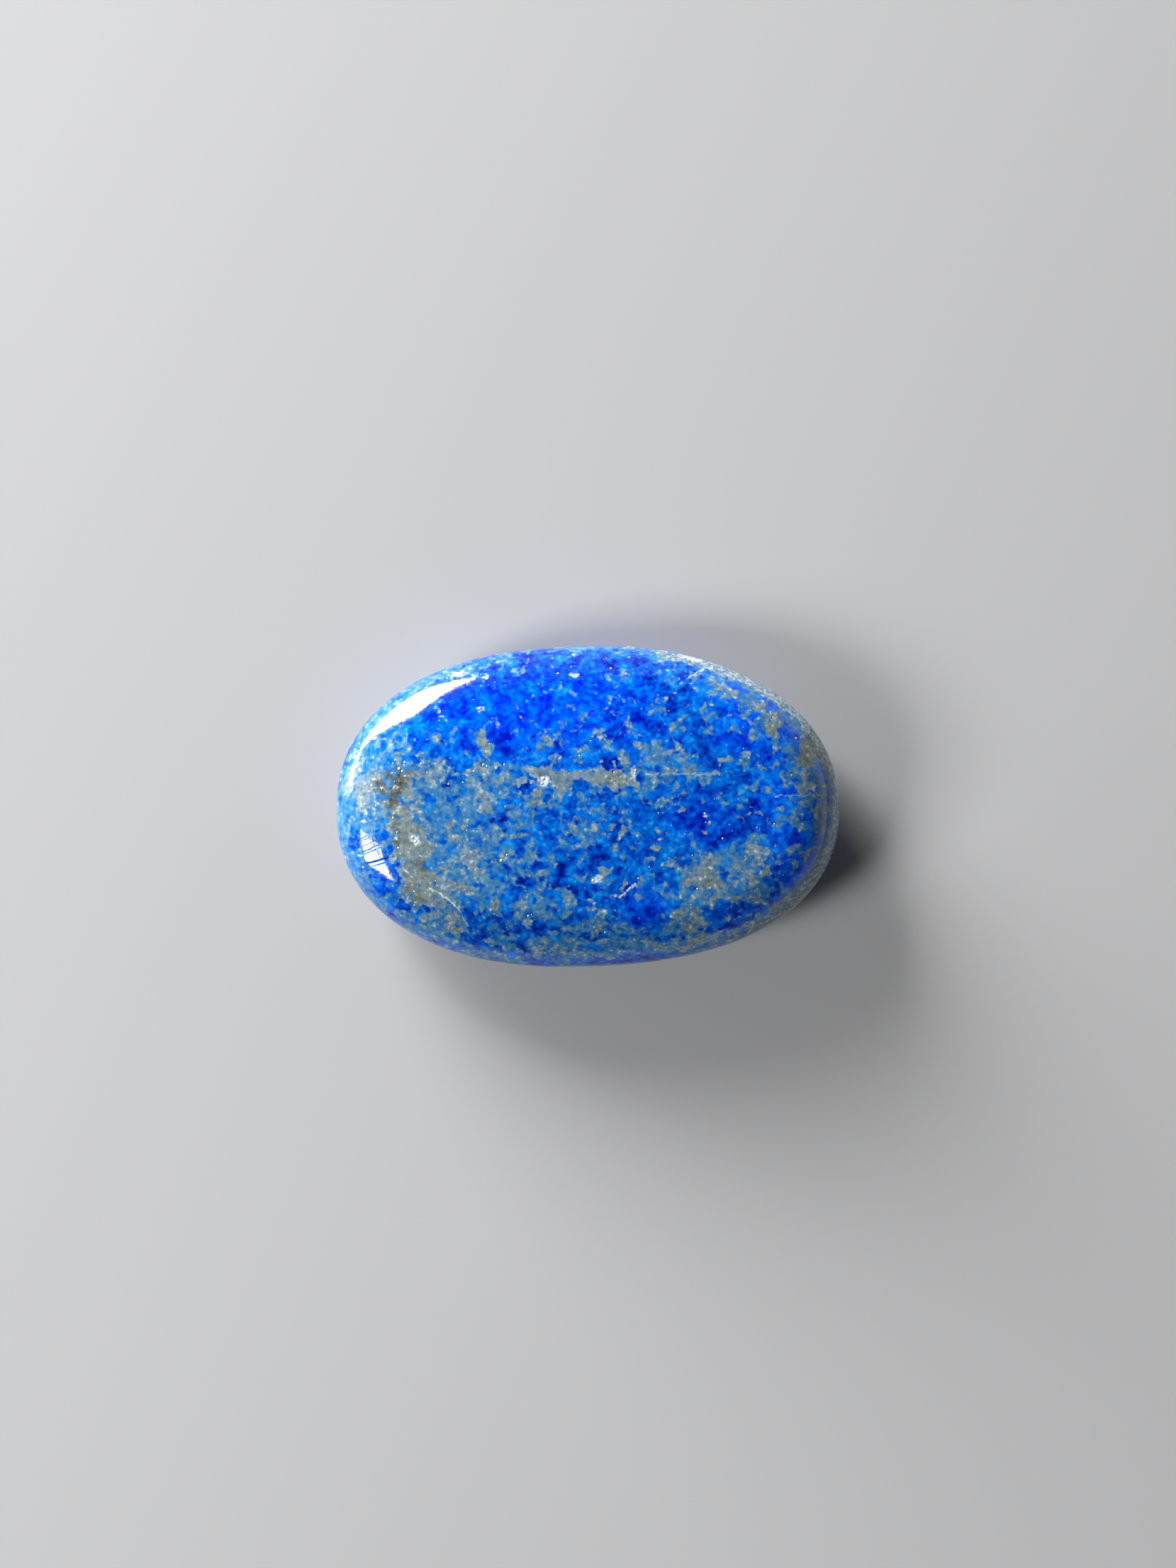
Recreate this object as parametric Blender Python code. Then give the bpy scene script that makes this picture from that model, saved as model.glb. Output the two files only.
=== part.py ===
"""A polished lapis lazuli palm stone: one flat oval pebble with rounded edges.

The stone lies on its underside, +Z up. The origin is in the middle of the box round
the stone, on the surface that it rests on. +X runs along its length.
"""

import math

import bmesh
import bpy
from mathutils import Vector

# Driving dimensions, in metres.
LENGTH = 0.0320
WIDTH = 0.02045
THICKNESS = 0.0070
GIRDLE_HEIGHT = 0.0033       # the widest line round the stone, above the surface
TOP_SHOULDER = 0.0042        # how far in from the rim the top stops rounding over
UNDER_SHOULDER = 0.0040
TOP_CROWN = 0.00080          # how much the top face falls from its middle to the rim
UNDER_CROWN = 0.00060
REST_SPOT = 0.38             # the flat spot under the stone, as a share of the outline

# The rim was ground by hand, so it wanders from a true oval and from a level line.
# Each wave is its number of lobes, its height in metres, and the side it peaks on.
SQUARENESS = 2.23            # 2 is an ellipse; more fills out the four quarters
OUTLINE_WAVES = (
    (1, 0.000054, 161),
    (3, 0.000073, -55),
    (4, 0.000048, -112),
    (5, 0.000040, -31),
)
GIRDLE_WAVES = (
    (1, 0.00018, 130),
    (2, 0.00012, 35),
    (3, 0.00006, 80),
)
SHOULDER_WAVES = (
    (1, 0.00050, 170),
    (3, 0.00015, 20),
)
SHOULDER_FULLNESS = 2.20     # 2 rounds the shoulder as an ellipse; more is fuller

# How finely the surface is divided.
SIDES = 112
SHOULDER_RINGS = 9
FACE_RINGS = 4

# Material, as linear colour.
LAPIS_BLUE = (0.020, 0.153, 0.521, 1.0)
POLISH_ROUGHNESS = 0.14
STONE_IOR = 1.5


def waves(pattern, angle):
    """Height of a set of lobed waves at an angle round the rim."""
    return sum(
        height * math.cos(lobes * angle - math.radians(peak))
        for lobes, height, peak in pattern
    )


def rim_radius(angle):
    """Distance from the middle of the stone to its rim, seen from above."""
    along = abs(math.cos(angle) / (LENGTH / 2)) ** SQUARENESS
    across = abs(math.sin(angle) / (WIDTH / 2)) ** SQUARENESS
    return (along + across) ** (-1 / SQUARENESS) + waves(OUTLINE_WAVES, angle)


def rim_angles():
    """Angles that space the sides about evenly along the rim."""
    for step in range(SIDES):
        turn = math.tau * step / SIDES
        yield math.atan2(WIDTH * math.sin(turn), LENGTH * math.cos(turn))


def rim_points():
    """The outline seen from above, centred, with a box of exactly LENGTH by WIDTH."""
    raw = [
        Vector((math.cos(a), math.sin(a))) * rim_radius(a)
        for a in rim_angles()
    ]
    low = Vector((min(p.x for p in raw), min(p.y for p in raw)))
    high = Vector((max(p.x for p in raw), max(p.y for p in raw)))
    middle = (low + high) / 2
    size = high - low
    return [
        Vector(((p.x - middle.x) * LENGTH / size.x, (p.y - middle.y) * WIDTH / size.y))
        for p in raw
    ]


def rounding(share):
    """Rise of a shoulder, 0 at the rim and 1 where it meets the face."""
    if share >= 1:
        return 1.0
    return (1 - (1 - share) ** SHOULDER_FULLNESS) ** (1 / SHOULDER_FULLNESS)


def inward_depths(rim):
    """For each rim point, how far the middle lies behind the rim's own tangent."""
    depths = []
    for i, point in enumerate(rim):
        tangent = rim[(i + 1) % len(rim)] - rim[i - 1]
        normal = Vector((tangent.y, -tangent.x)).normalized()
        depths.append(point.dot(normal))
    return depths


def stone_rings(rim):
    """Rings of points from the rest spot, round the rim, to the middle of the top."""
    depths = inward_depths(rim)
    angles = [math.atan2(p.y, p.x) for p in rim]
    girdle = [GIRDLE_HEIGHT + waves(GIRDLE_WAVES, a) for a in angles]
    shoulder = [waves(SHOULDER_WAVES, a) for a in angles]

    def under_height(reach):
        spot = REST_SPOT ** 2
        return UNDER_CROWN * max(0.0, reach ** 2 - spot) / (1 - spot)

    def top_height(reach):
        return THICKNESS - TOP_CROWN * reach ** 2

    def shoulder_ring(turn, width, face_height):
        """A ring part of the way round a shoulder: turn is 0 at the rim, 1 at the face."""
        share = 1 - math.cos(turn * math.pi / 2)
        ring = []
        for point, depth, height, extra in zip(rim, depths, girdle, shoulder):
            reach = 1 - share * (width + extra) / depth
            rise = rounding(share)
            z = height + (face_height(reach) - height) * rise
            ring.append(Vector((point.x * reach, point.y * reach, z)))
        return ring

    def face_ring(turn, width, inner, face_height):
        """A ring on a face: turn is 0 where the shoulder ends, 1 at the inner share."""
        ring = []
        for point, depth, extra in zip(rim, depths, shoulder):
            outer = 1 - (width + extra) / depth
            reach = outer + (inner - outer) * turn
            ring.append(Vector((point.x * reach, point.y * reach, face_height(reach))))
        return ring

    rings = []
    for i in range(FACE_RINGS):
        turn = 1 - i / FACE_RINGS
        rings.append(face_ring(turn, UNDER_SHOULDER, REST_SPOT, under_height))
    for i in range(SHOULDER_RINGS):
        turn = 1 - i / SHOULDER_RINGS
        rings.append(shoulder_ring(turn, UNDER_SHOULDER, under_height))
    for i in range(SHOULDER_RINGS):
        rings.append(shoulder_ring(i / SHOULDER_RINGS, TOP_SHOULDER, top_height))
    for i in range(FACE_RINGS + 1):
        turn = i / (FACE_RINGS + 1)
        rings.append(face_ring(turn, TOP_SHOULDER, 0.0, top_height))
    return rings


def closed_loop(bm, points):
    """Adds a ring of points joined by edges, and returns its vertices and edges."""
    verts = [bm.verts.new(p) for p in points]
    edges = [bm.edges.new((v, verts[i - 1])) for i, v in enumerate(verts)]
    return verts, edges


def stone_mesh():
    """Bridges the rings, closes the rest spot flat, and draws the top to its middle."""
    bm = bmesh.new()
    loops = [closed_loop(bm, ring) for ring in stone_rings(rim_points())]
    for (_, lower), (_, upper) in zip(loops, loops[1:]):
        bmesh.ops.bridge_loops(bm, edges=lower + upper)
    bm.faces.new(loops[0][0])
    top = bm.faces.new(loops[-1][0])
    middle = bmesh.ops.poke(bm, faces=[top])["verts"][0]
    middle.co = Vector((0, 0, THICKNESS))
    bmesh.ops.recalc_face_normals(bm, faces=bm.faces)
    mesh = bpy.data.meshes.new("lapis_stone")
    bm.to_mesh(mesh)
    bm.free()
    mesh.shade_smooth()
    return mesh


def polished_lapis():
    """Deep blue opaque stone with a high polish."""
    material = bpy.data.materials.new("polished_lapis")
    material.use_nodes = True
    shader = material.node_tree.nodes["Principled BSDF"]
    shader.inputs["Base Color"].default_value = LAPIS_BLUE
    shader.inputs["Roughness"].default_value = POLISH_ROUGHNESS
    shader.inputs["Metallic"].default_value = 0.0
    shader.inputs["IOR"].default_value = STONE_IOR
    material.diffuse_color = LAPIS_BLUE
    return material


def build():
    for old in list(bpy.data.objects):
        bpy.data.objects.remove(old)
    stone = bpy.data.objects.new("lapis_stone", stone_mesh())
    stone.data.materials.append(polished_lapis())
    bpy.context.scene.collection.objects.link(stone)


build()
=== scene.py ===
import math

import bpy
import numpy as np
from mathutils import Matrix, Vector, noise


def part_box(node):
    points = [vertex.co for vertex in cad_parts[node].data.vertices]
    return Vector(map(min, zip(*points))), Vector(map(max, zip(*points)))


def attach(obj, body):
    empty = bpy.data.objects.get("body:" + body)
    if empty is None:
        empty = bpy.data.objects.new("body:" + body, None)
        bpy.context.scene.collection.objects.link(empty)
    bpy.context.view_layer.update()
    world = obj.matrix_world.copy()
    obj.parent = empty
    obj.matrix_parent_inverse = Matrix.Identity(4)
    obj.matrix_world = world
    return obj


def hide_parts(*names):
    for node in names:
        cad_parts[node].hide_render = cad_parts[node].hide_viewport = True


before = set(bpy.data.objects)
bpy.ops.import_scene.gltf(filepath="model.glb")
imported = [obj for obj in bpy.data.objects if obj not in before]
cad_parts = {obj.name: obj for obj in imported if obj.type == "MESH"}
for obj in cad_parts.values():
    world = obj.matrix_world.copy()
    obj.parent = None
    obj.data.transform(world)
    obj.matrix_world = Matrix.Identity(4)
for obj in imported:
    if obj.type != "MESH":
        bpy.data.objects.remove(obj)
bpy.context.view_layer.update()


# The stone's form. One piece of lapis lazuli was sawn from the rough and ground on a
# wheel to a flat oval: two slightly crowned faces, and rounded shoulders that meet in the
# widest line round the stone. No side is quite like the next.

box_low, box_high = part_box("lapis_stone")
STONE_SIZES = {
    "Length": box_high.x - box_low.x,
    "Width": box_high.y - box_low.y,
    "Thickness": box_high.z,
    "Girdle Height": 0.0033,
    "Top Shoulder": 0.0042,
    "Under Shoulder": 0.0040,
    "Top Crown": 0.00080,
    "Under Crown": 0.00060,
    "Rest Spot": 0.38,
    "Squareness": 2.23,
    "Shoulder Fullness": 2.20,
    "Wheel Ripple": 0.000022,
    "Sides": 480,
    "Rings": 200,
}
WHOLE_NUMBERS = ("Sides", "Rings", "Seed")
# Each wave is its number of lobes, its height in metres, and the side it peaks on.
OUTLINE_WAVES = (
    (1, 0.000054, 161),
    (3, 0.000073, -55),
    (4, 0.000048, -112),
    (5, 0.000040, -31),
)
GIRDLE_WAVES = (
    (1, 0.00018, 130),
    (2, 0.00012, 35),
    (3, 0.00006, 80),
)
SHOULDER_WAVES = (
    (1, 0.00050, 170),
    (3, 0.00015, 20),
)
TOP_RINGS = 0.62        # share of the rings that lie above the girdle
FACE_RINGS = 0.66       # share of each half's rings that lie on its face
RIPPLE_SCALE = 230.0    # about four millimetres from one flat to the next
RIPPLE_STARTS = 0.0003  # the ripple is whole from this height above the table


class Wire:
    """A value on a wire of a node tree. Arithmetic on it lays the Math nodes."""

    def __init__(self, tree, socket):
        self.tree = tree
        self.socket = socket

    def math(self, operation, *others):
        node = self.tree.nodes.new("ShaderNodeMath")
        node.operation = operation
        for socket, value in zip(node.inputs, (self,) + others):
            plug(self.tree, value, socket)
        return Wire(self.tree, node.outputs[0])

    def __add__(self, other):
        return self.math("ADD", other)

    def __sub__(self, other):
        return self.math("SUBTRACT", other)

    def __mul__(self, other):
        return self.math("MULTIPLY", other)

    def __truediv__(self, other):
        return self.math("DIVIDE", other)

    def __pow__(self, other):
        return self.math("POWER", other)

    def less_from(self, whole):
        """The whole less this value."""
        return (self * -1) + whole

    def held(self, low=0.0, high=1.0):
        """The value kept between two limits."""
        return self.math("MAXIMUM", low).math("MINIMUM", high)

    def eased(self, low, high):
        """0 below low and 1 above high, with a soft start and end."""
        node = lay(self.tree, "ShaderNodeMapRange", interpolation_type="SMOOTHSTEP")
        for name, value in (("Value", self), ("From Min", low), ("From Max", high)):
            plug(self.tree, value, node.inputs[name])
        return Wire(self.tree, node.outputs["Result"])


def plug(tree, value, socket):
    """Links a wire or a socket to an input, or sets the input's own value."""
    if isinstance(value, Wire):
        tree.links.new(value.socket, socket)
    elif isinstance(value, bpy.types.NodeSocket):
        tree.links.new(value, socket)
    else:
        socket.default_value = value


def lay(tree, kind, inputs=(), **choices):
    """Lays one node, with its choices, and its inputs plugged by name or number."""
    node = tree.nodes.new(kind)
    for name, value in choices.items():
        setattr(node, name, value)
    for name, value in dict(inputs).items():
        plug(tree, value, node.inputs[name])
    return node


def split(tree, vector):
    """The three parts of a vector, each on a wire."""
    node = lay(tree, "ShaderNodeSeparateXYZ", {0: vector})
    return [Wire(tree, socket) for socket in node.outputs]


def joined(tree, x, y, z):
    """A vector from its three parts."""
    return lay(tree, "ShaderNodeCombineXYZ", {0: x, 1: y, 2: z}).outputs[0]


def scaled(tree, vector, amount):
    """A vector made longer or shorter."""
    node = lay(tree, "ShaderNodeVectorMath", {0: vector, "Scale": amount},
               operation="SCALE")
    return node.outputs[0]


def moved(tree, geometry, **where):
    """The geometry with each point at its new Position, or moved by its Offset."""
    node = lay(tree, "GeometryNodeSetPosition", {"Geometry": geometry, **where})
    return node.outputs[0]


def pick(choice, yes, no):
    """yes where the choice is 1 and no where it is 0."""
    return (yes - no) * choice + no


def lobed(angle, waves):
    """Height of a set of lobed waves at an angle round the rim."""
    total = None
    for lobes, height, peak in waves:
        wave = (angle * lobes - math.radians(peak)).math("COSINE") * height
        total = wave if total is None else total + wave
    return total


def new_form(name, sizes, takes_geometry=False):
    """An empty Geometry Nodes tree with a named input for each size, and its wires."""
    tree = bpy.data.node_groups.new(name, "GeometryNodeTree")
    face = tree.interface
    if takes_geometry:
        face.new_socket("Geometry", in_out="INPUT", socket_type="NodeSocketGeometry")
    face.new_socket("Geometry", in_out="OUTPUT", socket_type="NodeSocketGeometry")
    for size, value in sizes.items():
        kind = "NodeSocketInt" if size in WHOLE_NUMBERS else "NodeSocketFloat"
        kind = "NodeSocketObject" if isinstance(value, bpy.types.Object) else kind
        face.new_socket(size, in_out="INPUT", socket_type=kind)
    named = [socket for socket in lay(tree, "NodeGroupInput").outputs if socket.name]
    return tree, {socket.name: Wire(tree, socket) for socket in named}


def end_form(tree, geometry, material):
    """Ends a tree: instances made real, the finish set, and the result handed out."""
    real = lay(tree, "GeometryNodeRealizeInstances", {0: geometry}).outputs[0]
    finished = lay(tree, "GeometryNodeSetMaterial",
                   {"Geometry": real, "Material": material})
    lay(tree, "NodeGroupOutput", {0: finished.outputs[0]})


def made(name, tree, sizes, start=None):
    """Runs a tree once with these sizes, and returns its result as a plain mesh piece."""
    piece = bpy.data.objects.new(name, start or bpy.data.meshes.new(name))
    bpy.context.scene.collection.objects.link(piece)
    modifier = piece.modifiers.new(tree.name, "NODES")
    modifier.node_group = tree
    for socket in tree.interface.items_tree:
        if socket.in_out == "INPUT" and socket.name in sizes:
            modifier[socket.identifier] = sizes[socket.name]
    seen = bpy.context.evaluated_depsgraph_get()
    mesh = bpy.data.meshes.new_from_object(piece.evaluated_get(seen), depsgraph=seen)
    piece.modifiers.remove(modifier)
    piece.data = mesh
    mesh.name = name
    if len(mesh.materials) > 1:
        mesh.materials.pop(index=0)
    return piece


def ground_form():
    """A ball's points, each moved to its place on the ground stone."""
    tree, size = new_form("ground_form", STONE_SIZES)
    ball = lay(tree, "GeometryNodeMeshUVSphere",
               {"Segments": size["Sides"], "Rings": size["Rings"], "Radius": 1.0})
    x, y, z = split(tree, lay(tree, "GeometryNodeInputPosition").outputs[0])

    # The rim that each point belongs to, seen from above.
    half_length = size["Length"] / 2
    half_width = size["Width"] / 2
    angle = (y * half_width).math("ARCTAN2", x * half_length)
    squareness = size["Squareness"]
    along = (angle.math("COSINE") / half_length).math("ABSOLUTE") ** squareness
    across = (angle.math("SINE") / half_width).math("ABSOLUTE") ** squareness
    radius = (along + across) ** (squareness ** -1 * -1) + lobed(angle, OUTLINE_WAVES)
    rim_x = angle.math("COSINE") * radius
    rim_y = angle.math("SINE") * radius

    # How far the middle of the stone lies behind the rim's own tangent there.
    flat_x = rim_x.math("ABSOLUTE")
    flat_y = rim_y.math("ABSOLUTE")
    lean_x = (flat_x / half_length) ** (squareness - 1) / half_length
    lean_y = (flat_y / half_width) ** (squareness - 1) / half_width
    steepness = (lean_x * lean_x + lean_y * lean_y).math("SQRT")
    depth = (flat_x * lean_x + flat_y * lean_y) / steepness

    # Where the point lies between the middle of its face and the rim.
    down = z.held(-1.0, 1.0).math("ARCCOSINE") / math.pi
    upper = down.math("LESS_THAN", TOP_RINGS)
    out = pick(upper, down / TOP_RINGS, down.less_from(1) / (1 - TOP_RINGS))
    on_face = (out / FACE_RINGS).held()
    turn = (out - FACE_RINGS).held().less_from(1 - FACE_RINGS) / (1 - FACE_RINGS)
    share = (turn * (math.pi / 2)).math("COSINE").less_from(1)
    shoulder = pick(upper, size["Top Shoulder"], size["Under Shoulder"])
    shoulder = shoulder + lobed(angle, SHOULDER_WAVES)
    reach = on_face * (share * shoulder / depth).less_from(1)

    # Its height: up the shoulder from the girdle, then over the crown of the face.
    spot = size["Rest Spot"] ** 2
    top = size["Thickness"] - size["Top Crown"] * reach * reach
    under = (reach * reach - spot).math("MAXIMUM", 0.0)
    under = under * size["Under Crown"] / spot.less_from(1)
    face = pick(upper, top, under)
    fullness = size["Shoulder Fullness"]
    rise = (share.less_from(1) ** fullness).less_from(1) ** (fullness ** -1)
    girdle = size["Girdle Height"] + lobed(angle, GIRDLE_WAVES)
    height = girdle + (face - girdle) * rise
    ground = moved(tree, ball.outputs[0],
                   Position=joined(tree, rim_x * reach, rim_y * reach, height))

    # The outline is centred and brought to the stone's exact length and width.
    limits = lay(tree, "GeometryNodeBoundBox", {0: ground})
    low_x, low_y, _ = split(tree, limits.outputs["Min"])
    high_x, high_y, _ = split(tree, limits.outputs["Max"])
    x, y, z = split(tree, lay(tree, "GeometryNodeInputPosition").outputs[0])
    x = (x - (low_x + high_x) / 2) * size["Length"] / (high_x - low_x)
    y = (y - (low_y + high_y) / 2) * size["Width"] / (high_y - low_y)
    centred = moved(tree, ground, Position=joined(tree, x, y, z))

    # The wheel left faint flats and hollows, but none where the stone rests.
    _, _, z = split(tree, lay(tree, "GeometryNodeInputPosition").outputs[0])
    flats = lay(tree, "ShaderNodeTexNoise", {"Scale": RIPPLE_SCALE, "Detail": 1.0})
    clear = (z / RIPPLE_STARTS).held()
    sunk = Wire(tree, flats.outputs[0]) * size["Wheel Ripple"] * clear * -1
    normal = lay(tree, "GeometryNodeInputNormal").outputs[0]
    rippled = moved(tree, centred, Offset=scaled(tree, normal, sunk))
    smooth = lay(tree, "GeometryNodeSetShadeSmooth", {"Geometry": rippled})
    end_form(tree, smooth.outputs[0], lapis_polish)
    return tree


lapis_polish = bpy.data.materials.new("lapis_polish")
stone = made("lapis_stone_polished", ground_form(), STONE_SIZES)


# The stone's minerals. Blue lazurite holds clouds of grey calcite: a smoky vein down the
# left end, a thinner one across the middle and small ones between. Painted light is laid
# in with them: a pale band along the right edge as a painted reflection, a milky haze on
# the sides as painted reflected light, a darker, greyer band along the bottom edge as
# painted shade, and a richer blue on the right end as painted light. Places are in
# millimetres from the middle of the top.

# Each cloud: x, y, half length, half width, turn in degrees, strength.
CALCITE_VEINS = (
    (-11.35, -1.7, 5.0, 1.3, 101, 1.00),
    (-10.1, -5.1, 1.8, 1.6, 0, 0.90),
    (-14.2, 1.7, 1.8, 1.4, 0, 0.90),
    (-10.0, 2.2, 1.8, 0.9, 0, 0.72),
    (-14.8, 0.3, 1.0, 1.8, 0, 0.50),
    (-3.1, 1.8, 7.4, 0.6, 0, 0.58),
    (-0.2, 1.9, 3.6, 0.65, 0, 1.00),
    (6.0, 2.1, 2.5, 0.25, 0, 0.45),
    (0.5, -8.8, 8.5, 0.9, 0, 0.22),
    (-7.4, -1.5, 2.8, 2.8, 0, 0.16),
)
CALCITE_CLOUDS = (
    (2.4, 3.0, 0.5, 1.0, 0, 0.65),
    (-0.4, 3.1, 0.5, 0.9, 0, 0.20),
    (-3.4, 0.4, 0.5, 1.0, 0, 0.50),
    (-6.9, 0.4, 0.7, 1.0, 0, 0.60),
    (-8.5, -1.4, 0.5, 0.9, 0, 0.50),
    (-7.5, -3.2, 1.0, 0.8, 0, 0.75),
    (-5.4, -3.2, 0.5, 0.4, 0, 0.60),
    (-6.4, 4.0, 0.7, 0.8, 0, 0.70),
    (-6.2, 5.0, 0.25, 1.0, 0, 0.40),
    (-6.7, 6.2, 0.35, 0.35, 0, 0.80),
    (-9.1, 6.9, 0.7, 1.0, 0, 0.60),
    (-7.4, 8.6, 1.6, 0.5, 0, 0.60),
    (-4.2, 8.8, 1.3, 0.5, 0, 0.75),
    (-1.8, 8.6, 1.0, 0.2, 0, 0.30),
    (2.1, 8.6, 0.8, 0.35, 0, 0.50),
    (8.6, 7.4, 1.6, 0.6, -30, 0.55),
    (10.7, 6.2, 0.8, 0.4, -35, 0.45),
    (11.6, 5.2, 0.5, 0.8, 0, 0.80),
    (14.0, 3.3, 0.9, 1.3, -60, 0.95),
    (14.0, 1.0, 0.7, 0.9, 0, 0.50),
    (14.6, -0.5, 0.5, 1.8, 0, 0.40),
    (13.1, -1.2, 0.35, 0.9, 0, 0.50),
    (-0.9, -1.6, 0.5, 0.5, 0, 0.50),
    (0.3, -1.4, 0.4, 0.6, 0, 0.42),
    (1.85, -1.9, 0.25, 0.9, 0, 0.45),
    (4.5, 3.0, 0.6, 0.7, 0, 0.45),
    (5.8, 3.7, 0.5, 0.4, 0, 0.40),
    (4.8, 0.1, 1.2, 0.5, 0, 0.40),
    (7.3, -1.3, 0.25, 0.6, 0, 0.60),
    (10.0, 2.8, 0.5, 0.5, 0, 0.40),
    (7.2, -4.3, 1.4, 1.3, 0, 0.75),
    (7.7, -5.2, 1.4, 0.9, 0, 0.60),
    (6.1, -7.1, 1.0, 0.9, 0, 0.50),
    (10.4, -3.5, 1.1, 1.4, 0, 0.60),
    (10.2, -5.6, 1.4, 0.7, 0, 0.35),
    (0.9, -4.1, 1.0, 0.4, 20, 0.60),
    (2.3, -5.0, 0.6, 0.25, 45, 0.50),
    (0.4, -7.1, 0.45, 0.9, 0, 0.60),
    (-1.4, -6.0, 0.4, 1.4, 0, 0.50),
    (-3.0, -3.8, 0.3, 1.2, -70, 0.40),
    (-7.6, -5.1, 0.8, 0.5, 0, 0.55),
    (-8.6, -7.1, 1.2, 0.9, 0, 0.55),
    (-5.4, -6.2, 0.35, 1.0, 0, 0.45),
    (-3.9, -6.4, 0.4, 1.0, 0, 0.45),
    (-2.9, -8.9, 1.2, 0.8, 0, 0.50),
    (6.8, -8.5, 2.0, 0.7, 20, 0.55),
)
PURE_BLUE = (
    (-14.7, -0.9, 0.5, 0.5, 0, 0.60),
    (-14.3, -4.2, 0.5, 1.2, 0, 0.60),
    (-7.2, 3.0, 0.6, 0.5, 0, 0.80),
    (-10.8, 4.8, 2.2, 1.5, 0, 0.80),
    (-2.4, 6.4, 5.0, 2.4, 0, 1.00),
    (5.0, 6.4, 2.5, 1.6, 0, 0.90),
    (3.4, -6.4, 1.4, 1.1, 0, 0.80),
    (12.7, -5.1, 1.5, 1.2, 0, 0.90),
    (-1.8, -0.1, 1.4, 1.2, 0, 0.60),
)
# Where the lazurite is richest, and runs to a violet blue. The three clouds on the right
# end are painted light: a brighter blue where that end lies in shade.
RICH_BLUE_AND_PAINTED_LIGHT = (
    (-4.0, 6.2, 7.6, 2.8, 0, 1.00),
    (2.6, 6.0, 2.6, 2.4, 0, 0.60),
    (10.0, 4.6, 2.4, 1.7, 0, 0.70),
    (3.6, -6.4, 1.6, 1.3, 0, 0.50),
    (-14.0, -4.6, 1.0, 1.6, 0, 0.40),
    (7.2, -0.8, 2.4, 1.6, 0, 0.35),
    # Painted light: these three brighten the right end, which lies in shade.
    (12.6, 0.0, 2.2, 5.5, 0, 0.55),
    (13.2, -3.4, 1.6, 2.2, 0, 0.75),
    (10.6, 5.8, 3.2, 1.8, -35, 0.60),
    (9.5, -6.0, 3.6, 1.6, 20, 0.30),
    (3.0, 4.5, 4.5, 2.5, 0, 0.30),
)
# Where the calcite is stained olive, and where it is smoky brown.
OLIVE_STAIN = (
    (-12.0, 1.5, 1.4, 1.6, 0, 1.00),
    (-11.8, -1.0, 1.0, 1.6, 0, 0.80),
    (-10.5, -3.8, 1.4, 1.8, 0, 1.00),
    (-11.2, -5.0, 1.3, 1.3, 0, 0.90),
    (-12.5, -7.0, 1.3, 0.9, 0, 0.90),
    (-7.5, -5.0, 0.8, 0.6, 0, 0.80),
    (-5.4, -6.0, 0.6, 0.8, 0, 0.80),
    (-3.5, 0.2, 0.9, 1.2, 0, 0.60),
    (-8.3, -1.3, 0.8, 1.0, 0, 0.60),
    (14.0, 3.3, 1.1, 1.5, -60, 1.00),
    (11.9, 5.2, 0.6, 0.9, 0, 0.70),
    (9.8, 2.3, 0.9, 0.6, 0, 0.70),
    (7.5, -1.5, 0.5, 0.8, 0, 0.80),
    (8.5, -5.5, 1.4, 1.0, 0, 0.70),
    (11.0, -4.2, 0.9, 0.8, 0, 0.70),
    (0.3, -7.0, 0.6, 1.0, 0, 0.80),
    (2.0, 1.6, 2.0, 0.7, 0, 0.60),
    (0.5, -1.6, 0.8, 0.6, 0, 0.60),
    (1.9, -2.0, 0.4, 0.9, 0, 0.60),
    (-8.0, -7.5, 1.6, 1.0, 0, 0.60),
    (-6.3, 3.6, 0.7, 0.9, 0, 0.50),
    (6.0, -8.6, 2.4, 0.7, 20, 0.50),
)
SMOKY_BROWN = (
    (-12.0, 1.9, 0.8, 1.6, -10, 1.15),
    (-12.9, 1.1, 0.7, 0.5, 0, 0.80),
    (-11.9, -1.4, 0.4, 1.5, 0, 0.45),
    (-10.4, -3.5, 0.9, 0.6, 0, 0.55),
    (-11.1, -5.6, 0.8, 0.8, 0, 0.45),
    (-12.8, -6.8, 0.8, 0.5, 0, 0.60),
    (-5.4, -3.1, 0.22, 0.18, 0, 1.00),
    (7.3, -1.3, 0.16, 0.4, 0, 0.80),
    (13.8, 3.7, 0.5, 1.2, -30, 0.40),
)
# Where the blue is milky, milk-white blotches, and spots of the darkest blue. A long band
# of each along the bottom edge is painted shade, darker and greyer there.
MILKY_AREAS_AND_PAINTED_SHADE = (
    (-7.6, -2.0, 4.4, 4.4, 0, 0.42),
    (-13.8, 0.8, 2.0, 3.0, 0, 0.50),
    (0.5, -8.4, 9.0, 1.5, 0, 0.30),
    (8.5, -4.5, 3.4, 2.4, 0, 0.34),
    (-3.0, -4.5, 3.0, 3.0, 0, 0.20),
    (4.5, 2.4, 3.0, 1.2, 0, 0.28),
    (-10.4, 1.9, 2.6, 1.8, 0, 0.45),
    (11.0, 6.0, 2.4, 1.5, -35, 0.25),
    (0.0, -1.5, 1.8, 1.2, 0, 0.08),
    (14.6, 0.0, 0.9, 3.0, 0, 0.35),
    (-12.4, -7.0, 3.0, 1.6, -35, 0.45),
    (-15.2, -2.4, 0.9, 2.8, 0, 0.45),
    # Painted shade: a greyer band along the bottom edge.
    (0.0, -10.2, 13.0, 1.0, 0, 0.35),
)
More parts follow.
